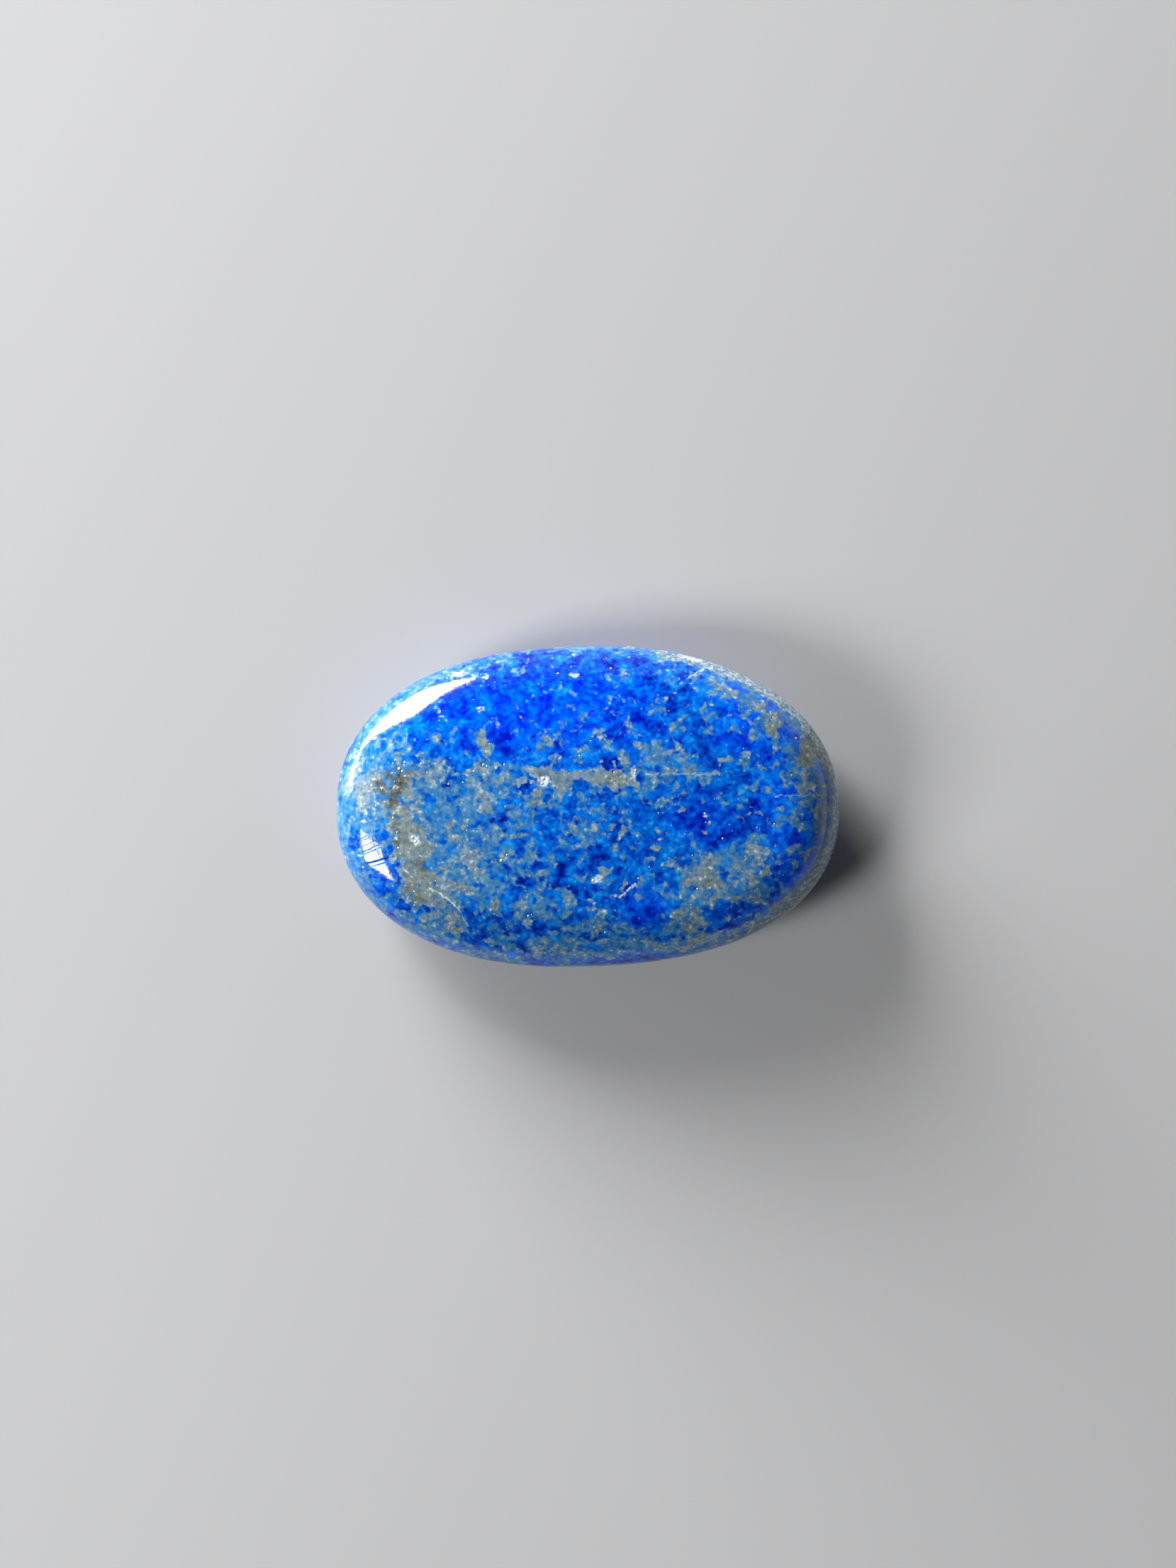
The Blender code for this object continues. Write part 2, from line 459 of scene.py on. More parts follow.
MILK_BLOTCHES = (
    (-2.78, 1.69, 0.42, 0.36, 0, 1.00),
    (2.87, 2.14, 0.20, 0.40, 0, 1.00),
    (-10.90, -1.92, 0.55, 0.26, -50, 1.00),
    (-6.70, 6.22, 0.26, 0.22, 0, 0.60),
    (-5.30, -3.10, 0.40, 0.26, -40, 0.55),
    (0.50, -4.52, 0.42, 0.26, 20, 1.00),
    (7.30, -0.68, 0.16, 0.12, 0, 0.85),
    (-8.30, 8.40, 0.50, 0.16, 20, 0.80),
    (-0.75, 8.25, 0.40, 0.18, 0, 0.80),
    (-14.60, 3.20, 0.40, 0.70, 0, 0.50),
    (6.70, 9.30, 1.00, 0.22, -12, 0.75),
    (14.00, 0.80, 0.50, 0.22, 60, 0.45),
)
NAVY_SPOTS_AND_PAINTED_SHADE = (
    (-2.7, 6.8, 0.8, 0.5, 0, 0.80),
    (0.3, 7.4, 0.8, 0.5, 0, 0.80),
    (5.4, 6.4, 0.7, 0.6, 0, 0.80),
    (4.0, 5.2, 0.7, 0.6, 0, 0.80),
    (-5.5, 4.2, 0.8, 0.6, 0, 0.80),
    (1.3, 2.4, 0.8, 0.6, 0, 0.90),
    (7.0, -0.8, 1.3, 1.0, 0, 0.90),
    (8.0, -2.0, 0.9, 0.7, 0, 0.80),
    (1.0, -3.0, 0.7, 0.6, 0, 0.80),
    (-1.6, -4.3, 0.6, 1.0, 0, 0.80),
    (3.8, -6.9, 0.9, 0.7, 0, 0.80),
    (-3.0, -7.5, 0.8, 0.6, 0, 0.80),
    (10.3, 0.0, 0.7, 0.6, 0, 0.80),
    # Painted shade: a darker band along the bottom edge.
    (1.0, -10.4, 13.0, 1.1, 0, 0.25),
    (-6.0, 7.8, 5.0, 1.8, 12, 0.45),
    (1.5, 8.8, 3.5, 1.2, 0, 0.35),
)
HALF_LENGTH = 16.0
HALF_WIDTH = 10.22
TOP_HEIGHT = 7.0
BELOW_GIRDLE = 2.2      # up to this height the stone shows the rock of its underside
ABOVE_GIRDLE = 4.6      # and from this height on, that of its top
BLUE_SHARE = 0.8        # how far the pure blue drives out the calcite
PAINTED_RIM_HAZE = 0.42         # how milky the sides are painted, a painted haze of reflected light
EDGE_REFLECTION_SIDE = 15     # the side in degrees that the painted reflection on the edge is centred on
EDGE_REFLECTION_AS_CALCITE = 0.90
EDGE_REFLECTION_AS_WHITE = 0.42
EDGE_REFLECTION_FADE = 1.4    # millimetres up the side in which the painted edge reflection comes in
VEIN_LEAN = 0.35        # how far a vein leans along the stone for each unit of depth
EDGE_WANDER = 0.45      # millimetres that the edges of the clouds wander
WANDER_SEED = 10        # the clouds' edges wander the same way on every run
UNDER_TURN = (-0.96, 0.97)
UNDER_SHIFT = (0.8, -0.4)


def wander(points):
    """A slow, uneven shift of each point, so that no cloud keeps an even edge."""
    shift = [
        noise.noise_vector(p * 0.55) * 0.7 + noise.noise_vector(p * 1.6) * 0.3
        for p in map(Vector, points)
    ]
    return np.array(shift) * (2 * EDGE_WANDER)


def clouds(across, patches, lean=None):
    """How strongly a set of clouds shows, seen from above. The strongest one wins."""
    strongest = np.zeros(len(across))
    for x, y, half_long, half_wide, turn, strength in patches:
        dx = across[:, 0] - x
        dy = across[:, 1] - y
        if lean is not None:
            dx = dx - lean
        c = math.cos(math.radians(turn))
        s = math.sin(math.radians(turn))
        far = np.hypot((dx * c + dy * s) / half_long, (dy * c - dx * s) / half_wide)
        strongest = np.maximum(strongest, strength * np.exp(-(far ** 3)))
    return strongest


def rock(points, patches, through=False, still=False):
    """The clouds on the top, and on the underside the same ones turned end for end."""
    z = points[:, 2]
    top = np.clip((z - BELOW_GIRDLE) / (ABOVE_GIRDLE - BELOW_GIRDLE), 0, 1)
    top = top * top * (3 - 2 * top)
    seen = points[:, :2] + wander(points)[:, :2] * (0 if still else 1)
    if through:
        return clouds(seen, patches, lean=VEIN_LEAN * (TOP_HEIGHT - z))
    over = clouds(seen, patches)
    below = clouds(seen * UNDER_TURN + UNDER_SHIFT, patches)
    return over * top + below * (1 - top)


def rim_share(points, start=0.90, full=1.00):
    """0 on the faces, rising to 1 on the stone's sides."""
    across = np.hypot(points[:, 0] / HALF_LENGTH, points[:, 1] / HALF_WIDTH)
    share = np.clip((across - start) / (full - start), 0, 1)
    return share * share * (3 - 2 * share)


def painted_edge_reflection(points):
    """A painted reflection: a pale band along the right end's rim, standing in for light
    reflected there, put in as calcite and milk-white.
    """
    x, y, z = (points + wander(points)).T
    side = np.arctan2(y, x) - math.radians(EDGE_REFLECTION_SIDE)
    # Whole within 41 degrees of its middle, and gone at 63.
    share = np.clip((np.cos(side) - 0.45) / 0.30, 0, 1)
    above = np.clip((z - BELOW_GIRDLE) / EDGE_REFLECTION_FADE, 0, 1)
    return share * above * rim_share(points, start=0.945, full=0.985)


noise.seed_set(WANDER_SEED)
points = np.empty(len(stone.data.vertices) * 3, np.float32)
stone.data.vertices.foreach_get("co", points)
points = points.reshape(-1, 3) * 1000.0
calcite = np.maximum(
    rock(points, CALCITE_VEINS, through=True),
    rock(points, CALCITE_CLOUDS),
)
calcite = calcite - rock(points, PURE_BLUE) * BLUE_SHARE
# The pale band on the right edge is a painted reflection, put in as calcite here and as
# milk-white below.
calcite = np.maximum(calcite, painted_edge_reflection(points) * EDGE_REFLECTION_AS_CALCITE)
blotches = rock(points, MILK_BLOTCHES, still=True)
MINERALS = {
    "calcite": calcite,
    "rich_blue_and_painted_light": rock(points, RICH_BLUE_AND_PAINTED_LIGHT),
    "olive": rock(points, OLIVE_STAIN),
    "smoky": rock(points, SMOKY_BROWN),
    # The milkiness of the sides is painted reflected light, laid over the milky areas.
    "milky": np.maximum(rock(points, MILKY_AREAS_AND_PAINTED_SHADE), rim_share(points) * PAINTED_RIM_HAZE),
    "milk_white": np.maximum(blotches, painted_edge_reflection(points) * EDGE_REFLECTION_AS_WHITE),
    "navy": rock(points, NAVY_SPOTS_AND_PAINTED_SHADE),
}
for name, amount in MINERALS.items():
    layer = stone.data.attributes.new(name, "FLOAT", "POINT")
    layer.data.foreach_set("value", amount.astype(np.float32))


# The stone's colour and polish. Lazurite grains run from navy to azure, violet blue where
# they lie thickest, and thin out into milky calcite that is slate grey, olive or smoky.
# The whole was buffed to a gloss, a little duller and lower where the calcite lies.

DAYLIGHT = 1.48         # how bright the lights below make a white card on the stone
NAVY_TO_AZURE = (
    (0.00, 0, 20, 134),
    (0.20, 0, 44, 158),
    (0.40, 0, 72, 188),
    (0.60, 1, 100, 209),
    (0.80, 10, 124, 222),
    (1.00, 44, 154, 232),
)
RICH_NAVY_TO_AZURE = (
    (0.00, 0, 24, 198),
    (0.30, 0, 58, 232),
    (0.60, 0, 94, 249),
    (0.80, 4, 114, 252),
    (1.00, 24, 138, 250),
)
MILKY_BLUES = (
    (0.00, 16, 96, 168),
    (0.50, 66, 128, 170),
    (1.00, 124, 164, 184),
)
SLATE_GREYS = (
    (0.00, 44, 90, 146),
    (0.30, 86, 124, 164),
    (0.60, 126, 154, 180),
    (0.85, 170, 191, 205),
    (1.00, 216, 230, 240),
)
OLIVE_GREYS = (
    (0.00, 54, 68, 66),
    (0.30, 98, 112, 104),
    (0.60, 138, 149, 137),
    (0.85, 178, 187, 174),
    (1.00, 222, 229, 223),
)
SMOKE = (
    (0.00, 34, 32, 24),
    (0.50, 88, 84, 66),
    (1.00, 142, 136, 114),
)
MILK_WHITE = (208, 226, 238)
PAINTED_PIT_SHADE = (38, 42, 44)
PLAIN_BLUE = (2, 84, 202)
STONE_IOR = 1.5
RELIEF = 0.000006       # how far the softer grains lie below the harder ones
# Healed cracks and fine threads of white: from x, y to x, y in millimetres, half the
# width, and how white. Then open scratches in the polish, with how deep.
WHITE_THREADS = (
    (-10.00, -5.00, -9.29, -5.33, 0.045, 0.90),
    (-9.29, -5.33, -8.64, -5.83, 0.050, 1.00),
    (-8.64, -5.83, -8.13, -6.40, 0.045, 0.90),
    (-8.13, -6.40, -7.62, -7.40, 0.035, 0.40),
    (2.85, -4.90, 2.42, -5.24, 0.075, 0.75),
    (2.25, -5.38, 1.90, -5.70, 0.070, 0.85),
    (6.37, 8.01, 7.27, 8.57, 0.040, 0.75),
    (7.27, 8.57, 7.90, 8.70, 0.060, 0.90),
    (3.66, 2.00, 8.20, 1.95, 0.055, 0.32),
    (11.80, 0.56, 14.70, 0.55, 0.040, 0.38),
)
SCRATCHES = (
    (-14.50, -2.05, -13.00, -1.35, 0.075, 1.0),
    (-14.45, -2.50, -13.30, -2.05, 0.050, 1.0),
    (-14.40, -2.90, -13.10, -2.35, 0.080, 1.0),
    (-14.10, -3.60, -12.20, -3.10, 0.120, 1.2),
    (-13.62, -1.30, -13.35, -2.30, 0.055, 0.9),
    (-13.30, -2.40, -13.05, -3.00, 0.050, 0.8),
)


def paint(red, green, blue):
    """A colour as a screen shows it, 0 to 255, made the stone's own in this light."""
    def linear(part):
        part = part / 255
        return part / 12.92 if part <= 0.04045 else ((part + 0.055) / 1.055) ** 2.4
    return [linear(part) / DAYLIGHT for part in (red, green, blue)] + [1.0]


def shades(tree, value, stops):
    """Colours along a ramp."""
    node = lay(tree, "ShaderNodeValToRGB", {"Fac": value})
    ramp = node.color_ramp
    while len(ramp.elements) < len(stops):
        ramp.elements.new(0.5)
    for element, (place, *colour) in zip(ramp.elements, stops):
        element.position = place
        element.color = paint(*colour)
    return node.outputs["Color"]


def mixed(tree, amount, colour, other):
    """The first colour where the amount is 0, the other where it is 1."""
    node = lay(tree, "ShaderNodeMix", {0: amount, 6: colour, 7: other}, data_type="RGBA")
    return node.outputs[2]


def in_millimetres(tree):
    """The place on the piece that is being shaded."""
    return scaled(tree, lay(tree, "ShaderNodeTexCoord").outputs["Object"], 1000.0)


def cloudy(tree, place, scale, detail, roughness=0.5):
    """Cloudy variation about 0, with this many clouds to the millimetre."""
    node = lay(tree, "ShaderNodeTexNoise", {"Vector": place, "Scale": scale,
                                            "Detail": detail, "Roughness": roughness})
    return Wire(tree, node.outputs[0]) - 0.5


def painted(tree, name):
    """An amount painted on the stone, read inside its material."""
    node = lay(tree, "ShaderNodeAttribute", attribute_name=name)
    return Wire(tree, node.outputs["Fac"])


def shifted(tree, place, x, y, z):
    """The same place moved, so that a second pattern differs from the first."""
    node = lay(tree, "ShaderNodeVectorMath", {0: place, 1: (x, y, z)}, operation="ADD")
    return node.outputs[0]


def threads(x, y, lines):
    """Thin straight lines seen from above, each as strong as its own last number."""
    total = None
    for from_x, from_y, to_x, to_y, half_wide, strength in lines:
        run_x = to_x - from_x
        run_y = to_y - from_y
        square = run_x ** 2 + run_y ** 2
        share = ((x - from_x) * (run_x / square) + (y - from_y) * (run_y / square)).held()
        off_x = x - from_x - share * run_x
        off_y = y - from_y - share * run_y
        off = (off_x * off_x + off_y * off_y).math("SQRT")
        line = off.eased(half_wide * 0.5, half_wide * 1.6).less_from(1) * strength
        total = line if total is None else total.math("MAXIMUM", line)
    return total


def finish_lapis(material):
    """The rock's colours, grain, relief and gloss, through the whole stone."""
    material.use_nodes = True
    tree = material.node_tree
    shader = tree.nodes["Principled BSDF"]
    place = in_millimetres(tree)
    olive = painted(tree, "olive")
    smoky = painted(tree, "smoky")
    calcite = painted(tree, "calcite")
    navy = painted(tree, "navy")

    # Grain of a few tenths of a millimetre, and slower change from place to place.
    grain = cloudy(tree, shifted(tree, place, 11, 3, 5), 2.0, 1.0)
    other_grain = cloudy(tree, shifted(tree, place, 4, 13, 2), 2.0, 1.0)
    fine = cloudy(tree, shifted(tree, place, 14, 6, 8), 3.2, 1.0)
    other_fine = cloudy(tree, shifted(tree, place, 1, 16, 7), 3.2, 1.0)
    finest = cloudy(tree, shifted(tree, place, 2, 9, 14), 5.2, 0.0)
    other_finest = cloudy(tree, shifted(tree, place, 9, 2, 4), 5.2, 0.0)
    ragged = cloudy(tree, shifted(tree, place, 8, 18, 3), 1.5, 2.0, 0.55)
    patchy = cloudy(tree, shifted(tree, place, 3, 5, 17), 1.1, 2.0)
    other_patchy = cloudy(tree, shifted(tree, place, 12, 8, 1), 1.1, 2.0)
    broad = cloudy(tree, shifted(tree, place, 5, 5, 5), 0.5, 2.0)
    other_broad = cloudy(tree, shifted(tree, place, 15, 2, 4), 0.5, 2.0)

    # The lazurite: navy to azure, and violet blue where it is richest and where the right
    # end is painted brighter, as painted light.
    value = grain * 1.05 + fine * 0.85 + finest * 0.3 + other_patchy * 1.15 + broad * 0.4
    # The navy amount also darkens the bottom edge, as painted shade.
    value = value - navy * 0.35 + 0.51
    rich_and_painted_light = (painted(tree, "rich_blue_and_painted_light") + patchy * 0.5).held()
    colour = mixed(tree, rich_and_painted_light, shades(tree, value, NAVY_TO_AZURE),
                   shades(tree, value, RICH_NAVY_TO_AZURE))

    # How far the calcite comes up: patches of it reach the surface, and a haze of it
    # lies round them, just under the polish.
    # The calcite amount also holds the painted reflection on the right edge.
    patch = calcite * 0.66 + ragged * 1.25 + other_grain * 0.52 - fine * 0.30
    patch = patch + other_finest * 0.28 + patchy * 0.6 + other_broad * 0.3
    patch = patch - navy * 0.3 - 0.22
    # The milky amount also holds the painted reflected haze on the sides and the painted
    # shade along the bottom edge.
    haze = calcite.held(-1.0, 0.4) * 0.5 + painted(tree, "milky") * 0.8 + patchy * 1.15
    haze = haze + other_grain * 0.8 + other_fine * 0.4 - grain * 0.25 + broad * 0.9
    haze = haze + (patch + 0.24).held(0.0, 0.36) * 0.9 - navy * 0.4 - 0.04
    tone = other_grain * 1.4 + other_fine * 1.1 + other_finest * 0.3 + 0.44
    hazy = haze.eased(0.09, 0.40) * 0.88
    colour = mixed(tree, hazy, colour, shades(tree, tone, MILKY_BLUES))

    # The patches: pale at their ragged edges, and slate, olive or smoky brown inside.
    inside = patch.held(0.0, 0.3)
    stain = olive * 0.65 + other_broad * 1.2 + other_patchy + grain * 0.8 + inside + 0.14
    milk = other_fine * 1.3 - fine * 0.4 + other_finest * 0.6 + ragged * 0.7
    milk = milk * (calcite.held() * -0.5 + 1.0) + calcite.held() * 0.10 + 0.45
    milk = milk - (patch - 0.16).held(-0.16, 0.12) * 0.6
    calcites = mixed(tree, stain.held(), shades(tree, milk, SLATE_GREYS),
                     shades(tree, milk, OLIVE_GREYS))
    smoke = (smoky * 1.3 + patchy * 1.2 + fine * 0.6 - 0.15).held()
    smoke = smoke * smoky.eased(0.02, 0.2)
    calcites = mixed(tree, smoke, calcites,
                     shades(tree, other_fine * 1.3 + other_finest * 0.5 + 0.45, SMOKE))
    bare = patch.eased(-0.02, 0.20) * 0.93
    colour = mixed(tree, bare, colour, calcites)

    # Milk-white specks, blotches and threads.
    speck = finest * 0.7 + other_fine * 0.8 + bare * 0.10 + hazy * 0.05
    white = speck.eased(0.32, 0.43) * 0.65
    # The milk-white amount also holds the painted reflection on the right edge.
    blotch = painted(tree, "milk_white") + other_finest * 0.6 + other_fine * 0.6
    white = white.math("MAXIMUM", blotch.eased(0.25, 0.85) * 0.9)
    x, y, z = split(tree, place)
    above = z.eased(3.2, 3.8)
    thread = threads(x + fine * 0.3, y + other_fine * 0.3, WHITE_THREADS)
    white = white.math("MAXIMUM", thread * (finest * 3.0 + 0.8).held() * above)
    colour = mixed(tree, white, colour, paint(*MILK_WHITE))
    # Painted shade: each pit's dimple is darkened towards its middle.
    colour = mixed(tree, painted(tree, "pit") * 0.30, colour, paint(*PAINTED_PIT_SHADE))
    tree.links.new(colour, shader.inputs["Base Color"])

    # The softer calcite lies a few thousandths of a millimetre lower, and is duller.
    dull = bare * 0.10 + fine.math("ABSOLUTE") * 0.10 + 0.085
    plug(tree, dull + painted(tree, "pit") * 0.15, shader.inputs["Roughness"])
    groove = threads(x + fine * 0.12, y + other_fine * 0.12, SCRATCHES) * above
    height = fine * 0.6 + other_finest * 0.3 - bare * 0.5 - groove * 4.0
    relief = lay(tree, "ShaderNodeBump",
                 {"Height": height, "Strength": 1.0, "Distance": RELIEF})
    tree.links.new(relief.outputs[0], shader.inputs["Normal"])
    shader.inputs["IOR"].default_value = STONE_IOR
    material.diffuse_color = paint(*PLAIN_BLUE)


finish_lapis(lapis_polish)


# The crystals and their pits. Grains of pyrite and clear calcite are harder than the rock
# round them, so the polish left each one flush in a shallow dimple. They sit thickest in
# the smoky vein, and each shows as a bright point.

# Each crystal that stands out: x, y and radius in millimetres.
BRIGHT_CRYSTALS = (
    (-12.05, 3.04, 0.10), (-11.80, 2.50, 0.13), (-11.60, 2.35, 0.09),
    (-12.90, 1.28, 0.11), (-13.30, 0.20, 0.08), (-12.20, 2.85, 0.07),
    (-12.10, 1.70, 0.06), (-6.70, 6.25, 0.13), (-6.75, 6.00, 0.08),
    (-6.10, 4.00, 0.08), (-6.50, 2.70, 0.11), (-6.30, 2.60, 0.08),
    (-7.10, 2.30, 0.08), (-2.78, 1.80, 0.18), (-2.85, 1.50, 0.12),
    (-2.30, 1.60, 0.08), (-5.20, 2.70, 0.08), (-0.50, 3.20, 0.07),
    (-8.20, 8.40, 0.12), (-8.80, 8.20, 0.09), (-8.50, 8.30, 0.07),
    (-7.40, 8.80, 0.10), (-8.50, 9.00, 0.06), (-6.50, 8.20, 0.10),
    (-0.60, 8.20, 0.12), (-0.85, 8.25, 0.08), (-1.80, 8.40, 0.10),
    (-7.10, 6.80, 0.07), (-9.20, 6.10, 0.07), (-9.00, 5.75, 0.07),
    (-8.80, 5.50, 0.07), (-10.40, 2.80, 0.09), (-7.80, 1.60, 0.08),
    (-8.70, 1.50, 0.08), (-5.90, 5.60, 0.05), (-12.20, -0.57, 0.09),
    (-11.96, -1.47, 0.09), (-11.90, -2.46, 0.09), (-10.97, -6.10, 0.09),
    (-12.80, -6.70, 0.08), (-5.45, -3.30, 0.14), (-5.10, -2.95, 0.08),
    (-3.80, -6.80, 0.10), (-3.60, -6.72, 0.07), (-7.60, -1.40, 0.06),
    (-7.55, -1.10, 0.06), (-10.98, -1.80, 0.16), (-10.80, -2.05, 0.12),
    (-0.97, -9.08, 0.07), (1.53, 8.69, 0.10), (2.48, 8.33, 0.09),
    (7.80, 8.60, 0.10), (13.14, 4.17, 0.10), (12.78, 1.84, 0.09),
    (3.00, 2.25, 0.11), (2.95, 2.05, 0.08), (1.67, 2.14, 0.08),
    (0.80, 2.77, 0.05), (10.10, 2.95, 0.06), (11.70, 5.50, 0.08),
    (7.90, 0.40, 0.05), (9.40, 0.40, 0.06), (7.10, 2.05, 0.05),
    (7.30, -0.50, 0.10), (7.35, -1.05, 0.06), (8.40, -2.06, 0.08),
    (11.65, -1.20, 0.08), (10.56, -1.40, 0.07), (2.98, -2.30, 0.05),
    (0.68, -4.57, 0.08), (0.27, -4.60, 0.12), (3.10, -4.50, 0.07),
    (2.10, -5.56, 0.08), (2.60, -5.10, 0.07), (1.65, -6.50, 0.07),
    (1.00, -7.90, 0.08), (4.70, -8.70, 0.09), (7.30, -9.20, 0.07),
    (4.40, -0.43, 0.07), (3.80, -3.80, 0.06), (9.80, -3.20, 0.06),
    (6.80, -5.20, 0.10), (10.40, -5.40, 0.08), (6.50, -3.10, 0.07),
    (12.20, -4.40, 0.06),
)
DROP = 0.02             # each placed crystal is dropped on the stone from this far off
CLEAR_BELOW = 0.0004    # the strewn ones thin out below this height
CLEAR_SPOT = 0.52       # the share of the underside that the placed ones keep clear of
END_FOR_END = (-0.96, 0.93)
CRYSTAL_SHADES = (
    (0.0, 146, 164, 176),
    (0.5, 208, 224, 234),
    (1.0, 238, 246, 252),
)
CRYSTAL_SIZES = {
    "Stone": stone,
    "Grain Size": 0.000045,
    "Grains Per Area": 700000.0,
    "Seed": 11,
}
PIT_SIZES = {
    "Crystals": stone,
    "Pit Spread": 2.2,
    "Pit Depth": 0.55,
    "Deepest": 0.00007,
}
GRAIN_SIZES = {
    "Crystals": stone,
    "Sunk": 0.85,
    "Seed": 5,
}


def mineral(tree, name):
    """An amount painted on the stone, read inside a Geometry Nodes tree."""
    node = lay(tree, "GeometryNodeInputNamedAttribute", {"Name": name}, data_type="FLOAT")
    return Wire(tree, node.outputs["Attribute"])


def shape_of(tree, piece):
    """Another piece's geometry, read inside a tree."""
    return lay(tree, "GeometryNodeObjectInfo", {"Object": piece}).outputs["Geometry"]


def marked(tree, geometry, name, value, kind="FLOAT"):
    """The geometry with a value kept on each point, under a name."""
    node = lay(tree, "GeometryNodeStoreNamedAttribute",
               {"Geometry": geometry, "Name": name, "Value": value},
               data_type=kind, domain="POINT")
    return node.outputs[0]


def crystal_spots():
    """Drops the placed crystals onto the stone, and strews small ones round them."""
    tree, size = new_form("crystal_spots", CRYSTAL_SIZES, takes_geometry=True)
    surface = shape_of(tree, size["Stone"])
    place = lay(tree, "GeometryNodeInputPosition").outputs[0]
    _, _, height = split(tree, place)
    drop = lay(tree, "GeometryNodeRaycast",
               {"Target Geometry": surface, "Source Position": place,
                "Ray Direction": joined(tree, 0.0, 0.0, height * -1), "Ray Length": 1.0})
    faced = marked(tree, size["Geometry"], "up", drop.outputs["Hit Normal"],
                   kind="FLOAT_VECTOR")
    placed = moved(tree, faced, Position=drop.outputs["Hit Position"])

    # Strewn ones follow the calcite and the smoke. Most are tiny, and a few aren't.
    thick = mineral(tree, "calcite").held() * 0.55 + mineral(tree, "smoky") + 0.03
    thick = thick.held() * (height / CLEAR_BELOW).held()
    strewn = lay(tree, "GeometryNodeDistributePointsOnFaces",
                 {"Mesh": surface, "Density": thick * size["Grains Per Area"],
                  "Seed": size["Seed"]})
    chance = lay(tree, "FunctionNodeRandomValue", {"Seed": size["Seed"]},
                 data_type="FLOAT")
    spread = Wire(tree, chance.outputs["Value"]) ** 3 * 1.3 + 0.55
    sized = marked(tree, strewn.outputs["Points"], "size", spread * size["Grain Size"])
    turned = marked(tree, sized, "up", strewn.outputs["Normal"], kind="FLOAT_VECTOR")
    grains = lay(tree, "GeometryNodePointsToVertices", {0: turned})
    both = lay(tree, "GeometryNodeJoinGeometry")
    tree.links.new(placed, both.inputs[0])
    tree.links.new(grains.outputs[0], both.inputs[0])
    end_form(tree, both.outputs[0], lapis_polish)
    return tree


def pits_round_crystals():
    """Sinks a dimple round each crystal, and keeps how deep it is for the finish, which
    darkens it as painted shade and dulls it.
    """
    tree, size = new_form("pits_round_crystals", PIT_SIZES, takes_geometry=True)
    spots = shape_of(tree, size["Crystals"])
    nearest = lay(tree, "GeometryNodeSampleNearest", {"Geometry": spots}, domain="POINT")
    own_size = lay(tree, "GeometryNodeSampleIndex",
                   {"Geometry": spots, "Value": mineral(tree, "size"),
                    "Index": nearest.outputs[0]},
                   data_type="FLOAT", domain="POINT")
    near = lay(tree, "GeometryNodeProximity", {0: spots}, target_element="POINTS")
    grain = Wire(tree, own_size.outputs[0])
    away = Wire(tree, near.outputs["Distance"]) / (grain * size["Pit Spread"])
    bowl = (away * away).less_from(1).math("MAXIMUM", 0.0) ** 2
    kept = marked(tree, size["Geometry"], "pit", bowl)
    depth = (grain * size["Pit Depth"]).math("MINIMUM", size["Deepest"])
    normal = lay(tree, "GeometryNodeInputNormal").outputs[0]
    sunk = moved(tree, kept, Offset=scaled(tree, normal, bowl * depth * -1))
    end_form(tree, sunk, lapis_polish)
    return tree


def crystal_grains():
    """Sets a small faceted crystal at each spot, turned at random and sunk in its pit."""
    tree, size = new_form("crystal_grains", GRAIN_SIZES)
    spots = shape_of(tree, size["Crystals"])
    facets = lay(tree, "GeometryNodeMeshIcoSphere", {"Radius": 1.0, "Subdivisions": 1})
    turn = lay(tree, "FunctionNodeRandomValue", data_type="FLOAT_VECTOR")
    turn.inputs["Max"].default_value = (math.tau, math.tau, math.tau)
    plug(tree, size["Seed"], turn.inputs["Seed"])
    up = lay(tree, "GeometryNodeInputNamedAttribute", {"Name": "up"},
             data_type="FLOAT_VECTOR")
    down = mineral(tree, "size") * size["Sunk"] * -1
    sunk = moved(tree, spots, Offset=scaled(tree, up.outputs["Attribute"], down))
    grains = lay(tree, "GeometryNodeInstanceOnPoints",
                 {"Points": sunk, "Instance": facets.outputs["Mesh"],
                  "Rotation": turn.outputs["Value"],
                  "Scale": mineral(tree, "size").socket})
    end_form(tree, grains.outputs[0], crystal_shine)
    return tree


def finish_crystals(material):
    """Bare crystal faces, from silver grey to nearly white, no two grains the same."""
    material.use_nodes = True
    tree = material.node_tree
    shader = tree.nodes["Principled BSDF"]
    place = in_millimetres(tree)
    tone = cloudy(tree, place, 1.7, 1.0) * 1.8 + 0.6
    plug(tree, shades(tree, tone, CRYSTAL_SHADES), shader.inputs["Base Color"])
    plug(tree, cloudy(tree, place, 9.0, 1.0) * 0.2 + 0.22, shader.inputs["Roughness"])
    shader.inputs["Metallic"].default_value = 0.30


crystal_shine = bpy.data.materials.new("pyrite_and_calcite_crystals")
finish_crystals(crystal_shine)
# The underside has the same ones turned end for end, but none where the stone rests.
under_crystals = [
    (x, y, radius) for x, y, radius in BRIGHT_CRYSTALS
    if math.hypot(x / HALF_LENGTH, y / HALF_WIDTH) > CLEAR_SPOT
]
turn_x, turn_y = END_FOR_END
places = [(x / 1000, y / 1000, DROP) for x, y, _ in BRIGHT_CRYSTALS]
places += [(turn_x * x / 1000, turn_y * y / 1000, -DROP) for x, y, _ in under_crystals]
starts = bpy.data.meshes.new("crystal_starts")
starts.from_pydata(places, [], [])
radii = [radius / 1000 for _, _, radius in (*BRIGHT_CRYSTALS, *under_crystals)]
starts.attributes.new("size", "FLOAT", "POINT").data.foreach_set("value", radii)
spots = made("crystal_spots", crystal_spots(), CRYSTAL_SIZES, starts)

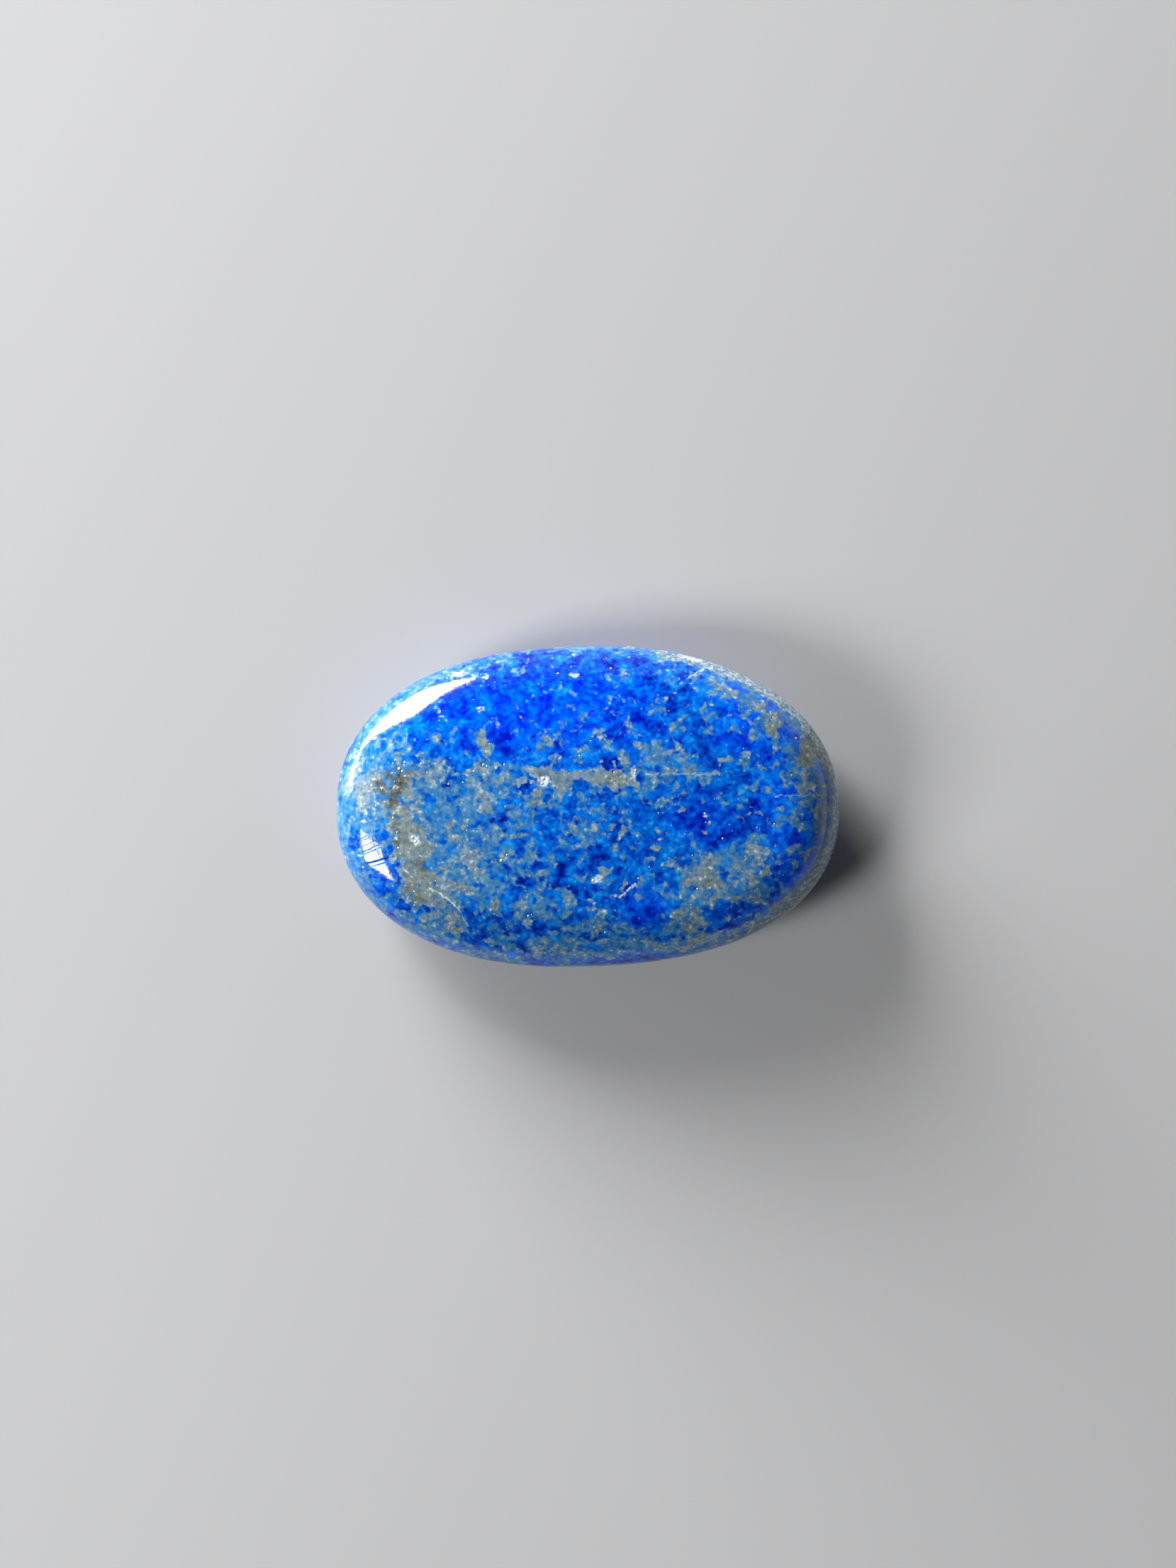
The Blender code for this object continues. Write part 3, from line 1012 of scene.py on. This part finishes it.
PIT_SIZES["Crystals"] = spots
bare_stone = stone
stone = made("lapis_stone_polished", pits_round_crystals(), PIT_SIZES, bare_stone.data)
bpy.data.objects.remove(bare_stone)
stone.name = "lapis_stone_polished"

GRAIN_SIZES["Crystals"] = spots
crystals = made("lapis_crystals", crystal_grains(), GRAIN_SIZES)
for name in MINERALS:
    crystals.data.attributes.remove(crystals.data.attributes[name])
bpy.data.objects.remove(spots)
for piece in (stone, crystals):
    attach(piece, "root")
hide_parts("lapis_stone")


# The table that the stone lies on, and the light. A plain pale round top, a tall soft
# window to the upper left and two smaller ones on the left, in a pale room whose ceiling
# is dark over the camera, which keeps the top of the stone free of haze.

TABLE_TONE = (0.34, 0.34, 0.345, 1.0)
TABLE_RADIUS = 0.5
TABLE_SIDES = 128
WINDOW_REACH = 0.5      # how far off the windows stand
WINDOW_AIM = 0.005      # the height above the table that they face
# Each window: the side it stands on, its lowest and its highest point, its breadth and
# how far it leans, all in degrees as seen from the stone, and its radiance.
WINDOWS = (
    ("tall_window", 130, -12, 30, 28, 38, 46.0),
    ("low_window", 160, -8, 8, 30, 12, 16.0),
    ("side_window", 202, 22, 44, 18, -30, 30.0),
)
SIDE_GLOW = 0.9
BACK_GLOW = 0.45
ROOM_FLOOR = 0.42       # the pale floor that shows past the edge of the table
ROOM_TINT = (0.97, 0.985, 1.0, 1.0)


def table():
    """A level round tabletop."""
    mesh = bpy.data.meshes.new("tabletop")
    turns = [math.tau * side / TABLE_SIDES for side in range(TABLE_SIDES)]
    rim = [(TABLE_RADIUS * math.cos(a), TABLE_RADIUS * math.sin(a), 0.0) for a in turns]
    mesh.from_pydata(rim, [], [range(TABLE_SIDES)])
    piece = bpy.data.objects.new("tabletop", mesh)
    bpy.context.scene.collection.objects.link(piece)
    card = bpy.data.materials.new("pale_card")
    card.use_nodes = True
    shader = card.node_tree.nodes["Principled BSDF"]
    shader.inputs["Base Color"].default_value = TABLE_TONE
    shader.inputs["Roughness"].default_value = 0.9
    mesh.materials.append(card)
    return piece


def window(name, side, low, high, wide, lean, radiance):
    """A soft light that shines on the stone from one side, facing it."""
    across = math.radians(side)
    middle = math.radians((low + high) / 2)
    tall = 2 * WINDOW_REACH * math.tan(math.radians(high - low) / 2)
    broad = 2 * WINDOW_REACH * math.tan(math.radians(wide) / 2)
    light = bpy.data.lights.new(name, "AREA")
    light.shape = "RECTANGLE"
    light.size = broad
    light.size_y = tall
    light.energy = radiance * math.pi * broad * tall
    piece = bpy.data.objects.new(name, light)
    bpy.context.scene.collection.objects.link(piece)
    level = math.cos(middle)
    away = Vector((level * math.cos(across), level * math.sin(across), math.sin(middle)))
    piece.location = away * WINDOW_REACH + Vector((0, 0, WINDOW_AIM))
    piece.rotation_euler = away.to_track_quat("Z", "Y").to_euler()
    piece.rotation_euler.rotate_axis("Z", math.radians(lean))


table()
for window_sizes in WINDOWS:
    window(*window_sizes)

room = bpy.data.worlds.new("pale_room")
bpy.context.scene.world = room
room.use_nodes = True
walls = room.node_tree
direction = lay(walls, "ShaderNodeTexCoord").outputs["Generated"]
rightward, backward, upward = split(walls, direction)
side = rightward.eased(0.25, 1.0) * upward.eased(0.05, 0.5).less_from(1) * SIDE_GLOW
back = backward.eased(-0.6, 0.8) * BACK_GLOW + 0.03
glow = back * upward.eased(0.15, 0.75).less_from(1) + side + 0.012
glow = glow.math("MAXIMUM", upward.eased(-0.02, 0.04).less_from(1) * ROOM_FLOOR)
plug(walls, glow, walls.nodes["Background"].inputs["Strength"])
walls.nodes["Background"].inputs["Color"].default_value = ROOM_TINT


# The camera looks straight down on the stone from 18 cm, as the photograph does, with the
# stone a little below the middle of the frame and turned by half a degree.

CAMERA_HEIGHT = 0.1833
CAMERA_PLACE = (0.00002, 0.00142)
CAMERA_TURN = -0.0104
LENS = 64.89

view = bpy.data.cameras.new("from_above")
view.lens = LENS
view.sensor_width = 36.0
view.clip_start = 0.01
camera = bpy.data.objects.new("from_above", view)
camera.location = (*CAMERA_PLACE, CAMERA_HEIGHT)
camera.rotation_euler = (0.0, 0.0, CAMERA_TURN)
bpy.context.scene.collection.objects.link(camera)
bpy.context.scene.camera = camera
bpy.context.scene.view_settings.view_transform = "Standard"
